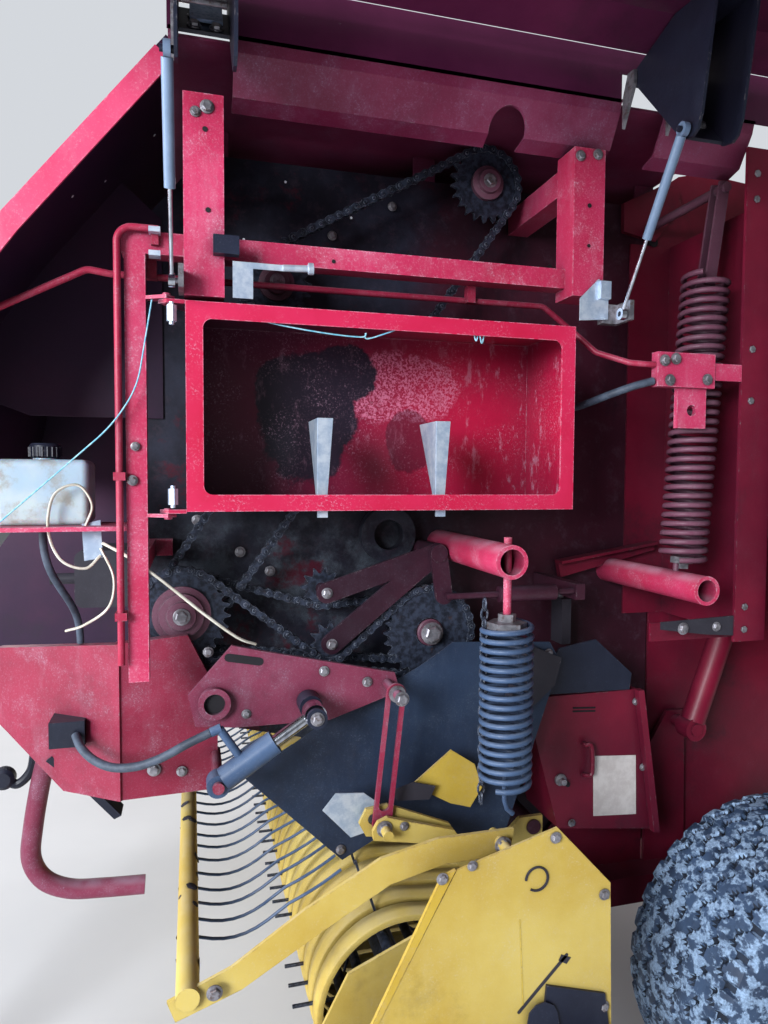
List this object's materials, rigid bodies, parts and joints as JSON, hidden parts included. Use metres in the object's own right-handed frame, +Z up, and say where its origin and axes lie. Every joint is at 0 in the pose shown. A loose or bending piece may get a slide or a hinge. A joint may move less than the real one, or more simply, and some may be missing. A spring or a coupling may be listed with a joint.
{
  "type": "round baler",
  "caption": "Towed round baler with an open bale chamber drive side, raised pickup, side shields on gas struts and a hinged tailgate.",
  "frame": {"origin": "on the ground under the middle of the machine, from the hitch eye's tip to the tail lamps", "axes": "+X forward to the hitch, +Y to the left, +Z up"},
  "size_m": [4.1998, 4.5508, 2.6726],
  "materials": {
    "red_paint": "worn paint",
    "yellow_paint": "worn paint",
    "black_paint": "satin paint",
    "black_sheet": "worn paint",
    "grey_paint": "satin paint",
    "rim_paint": "satin paint",
    "cast_grey": "rough",
    "roll_steel": "bare",
    "chain_steel": "oiled",
    "zinc": "galvanised",
    "chrome": "polished",
    "tyre_rubber": "matte",
    "hose_rubber": "matte",
    "twine_fibre": "fibrous",
    "belt_rubber": "matte",
    "shield_panel": "gloss paint",
    "tank_plastic": "translucent",
    "lamp_plastic": "clear gloss"
  },
  "bodies": {
    "frame": {"side_walls": "red_paint", "chamber_rolls": "roll_steel", "front_belts": "belt_rubber", "cross_beams": "red_paint", "gearbox": "cast_grey", "roof": "red_paint", "front_hood": "red_paint", "upright_frame": "red_paint", "rear_flanges": "red_paint", "chassis": "red_paint", "drawbar": "red_paint", "jack_sleeve": "black_paint", "drive_chains": "chain_steel", "sprockets": "chain_steel", "chain_tensioner": "red_paint", "lower_covers": "red_paint", "side_skirts": "black_sheet", "lift_springs": "grey_paint", "belt_springs": "red_paint", "oil_tank": "tank_plastic", "shield_pivots": "black_paint", "steel_pipes": "red_paint", "valve_block": "red_paint", "hoses": "hose_rubber", "twine_string": "twine_fibre", "drawbar_stay": "red_paint"},
    "left_wheel": {"left_rim": "rim_paint", "left_tyre": "tyre_rubber"},
    "right_wheel": {"right_rim": "rim_paint", "right_tyre": "tyre_rubber"},
    "jack": {"jack_leg": "zinc"},
    "lift_shaft": {"lift_lever": "red_paint"},
    "lift_barrel": {"lift_barrels": "grey_paint"},
    "lift_rod": {"lift_rods": "chrome"},
    "lift_link": {"lift_links": "red_paint"},
    "pickup": {"pickup_frame": "yellow_paint", "pickup_bands": "yellow_paint"},
    "reel": {"pickup_reel": "roll_steel"},
    "guard": {"crop_guard": "yellow_paint", "guard_wires": "zinc"},
    "left_gauge": {"left_gauge_wheel": "tyre_rubber"},
    "right_gauge": {"right_gauge_wheel": "tyre_rubber"},
    "tailgate": {"tailgate_walls": "red_paint", "tailgate_back": "red_paint", "tailgate_covers": "red_paint", "tailgate_rolls": "roll_steel", "tailgate_belts": "belt_rubber", "tail_lamps": "lamp_plastic"},
    "gate_barrel": {"gate_barrels": "red_paint"},
    "gate_rod": {"gate_rods": "chrome"},
    "left_shield": {"left_side_shield": "shield_panel", "left_shield_hangers": "black_paint"},
    "right_shield": {"right_side_shield": "shield_panel", "right_shield_hangers": "black_paint"},
    "left_strut_barrel": {"left_strut_barrels": "zinc"},
    "right_strut_barrel": {"right_strut_barrels": "zinc"},
    "left_strut_rod": {"left_strut_rods": "chrome"},
    "right_strut_rod": {"right_strut_rods": "chrome"},
    "left_box": {"left_twine_box": "red_paint"},
    "right_box": {"right_twine_box": "red_paint"}
  },
  "joints": [
    {"name": "left_wheel_spin", "type": "hinge", "parent": "frame", "child": "left_wheel", "pos_m": [-0.75, 1.01, 0.425], "axis": [0, 1, 0], "continuous": true},
    {"name": "right_wheel_spin", "type": "hinge", "parent": "frame", "child": "right_wheel", "pos_m": [-0.75, -1.01, 0.425], "axis": [0, 1, 0], "continuous": true},
    {"name": "jack_raise", "type": "slide", "parent": "frame", "child": "jack", "axis": [0, 0, 1], "range_m": [0, 0.35]},
    {"name": "pickup_lower", "type": "hinge", "parent": "frame", "child": "pickup", "pos_m": [-0.11, 0, 0.76], "axis": [0, 1, 0], "range_deg": [0, 22]},
    {"name": "lift_shaft_turn", "type": "hinge", "parent": "frame", "child": "lift_shaft", "pos_m": [0.739, 0, 1.211], "axis": [0, -1, 0], "range_deg": [0, 29.48]},
    {"name": "lift_link_turn", "type": "hinge", "parent": "lift_shaft", "child": "lift_link", "pos_m": [0.344, 0, 1.226], "axis": [0, -1, 0], "range_deg": [-29.41, 0]},
    {"name": "lift_barrel_turn", "type": "hinge", "parent": "frame", "child": "lift_barrel", "pos_m": [0.735, 0, 1.068], "axis": [0, 1, 0], "range_deg": [-23.24, 0]},
    {"name": "lift_rod_slide", "type": "slide", "parent": "lift_barrel", "child": "lift_rod", "axis": [-0.8383, 0, 0.5451], "range_m": [-0.0706, 0]},
    {"name": "reel_spin", "type": "hinge", "parent": "pickup", "child": "reel", "pos_m": [0.335, 0, 0.555], "axis": [0, 1, 0], "continuous": true},
    {"name": "guard_raise", "type": "hinge", "parent": "pickup", "child": "guard", "pos_m": [0.177, 0, 0.962], "axis": [0, -1, 0], "range_deg": [0, 12]},
    {"name": "left_gauge_spin", "type": "hinge", "parent": "pickup", "child": "left_gauge", "pos_m": [-0.005, 1.21, 0.33], "axis": [0, 1, 0], "continuous": true},
    {"name": "right_gauge_spin", "type": "hinge", "parent": "pickup", "child": "right_gauge", "pos_m": [-0.005, -1.21, 0.33], "axis": [0, 1, 0], "continuous": true},
    {"name": "tailgate_open", "type": "hinge", "parent": "frame", "child": "tailgate", "pos_m": [-0.58, 0, 2.53], "axis": [0, 1, 0], "range_deg": [0, 60]},
    {"name": "gate_barrel_turn", "type": "hinge", "parent": "frame", "child": "gate_barrel", "pos_m": [-0.63, 0, 0.98], "axis": [0, 1, 0], "range_deg": [0, 7.17]},
    {"name": "gate_rod_slide", "type": "slide", "parent": "gate_barrel", "child": "gate_rod", "axis": [-0.3471, 0, 0.9378], "range_m": [0, 0.58841]},
    {"name": "left_shield_close", "type": "hinge", "parent": "frame", "child": "left_shield", "pos_m": [0.25, 1.03, 2.6], "axis": [-1, 0, 0], "range_deg": [0, 82]},
    {"name": "left_strut_turn", "type": "hinge", "parent": "left_shield", "child": "left_strut_barrel", "pos_m": [0.25, 1.215, 2.4], "axis": [1, 0, 0], "range_deg": [0, 144.18]},
    {"name": "left_strut_slide", "type": "slide", "parent": "left_strut_barrel", "child": "left_strut_rod", "axis": [0, 0.5266, 0.8501], "range_m": [0, 0.02916]},
    {"name": "left_box_swing", "type": "hinge", "parent": "frame", "child": "left_box", "pos_m": [0.83, 0.95, 1.85], "axis": [0, 0, 1], "range_deg": [-100, 0]},
    {"name": "right_shield_close", "type": "hinge", "parent": "frame", "child": "right_shield", "pos_m": [0.25, -1.03, 2.6], "axis": [1, 0, 0], "range_deg": [0, 82]},
    {"name": "right_strut_turn", "type": "hinge", "parent": "right_shield", "child": "right_strut_barrel", "pos_m": [0.25, -1.215, 2.4], "axis": [-1, 0, 0], "range_deg": [0, 144.18]},
    {"name": "right_strut_slide", "type": "slide", "parent": "right_strut_barrel", "child": "right_strut_rod", "axis": [0, -0.5266, 0.8501], "range_m": [0, 0.02916]},
    {"name": "right_box_swing", "type": "hinge", "parent": "frame", "child": "right_box", "pos_m": [0.83, -0.95, 1.85], "axis": [0, 0, -1], "range_deg": [-100, 0]}
  ],
  "couplings": [
    {"joint": "lift_shaft_turn", "follows": "pickup_lower", "ratio": 1.3173},
    {"joint": "lift_link_turn", "follows": "pickup_lower", "ratio": -1.3093},
    {"joint": "lift_barrel_turn", "follows": "pickup_lower", "ratio": -1.0059},
    {"joint": "lift_rod_slide", "follows": "pickup_lower", "m_per_rad": -0.1751},
    {"joint": "gate_barrel_turn", "follows": "tailgate_open", "ratio": 0.11063},
    {"joint": "gate_rod_slide", "follows": "tailgate_open", "m_per_rad": 0.53514},
    {"joint": "left_strut_turn", "follows": "left_shield_close", "ratio": 1.7238},
    {"joint": "left_strut_slide", "follows": "left_shield_close", "m_per_rad": 0.019406},
    {"joint": "right_strut_turn", "follows": "right_shield_close", "ratio": 1.7238},
    {"joint": "right_strut_slide", "follows": "right_shield_close", "m_per_rad": 0.019406}
  ]
}
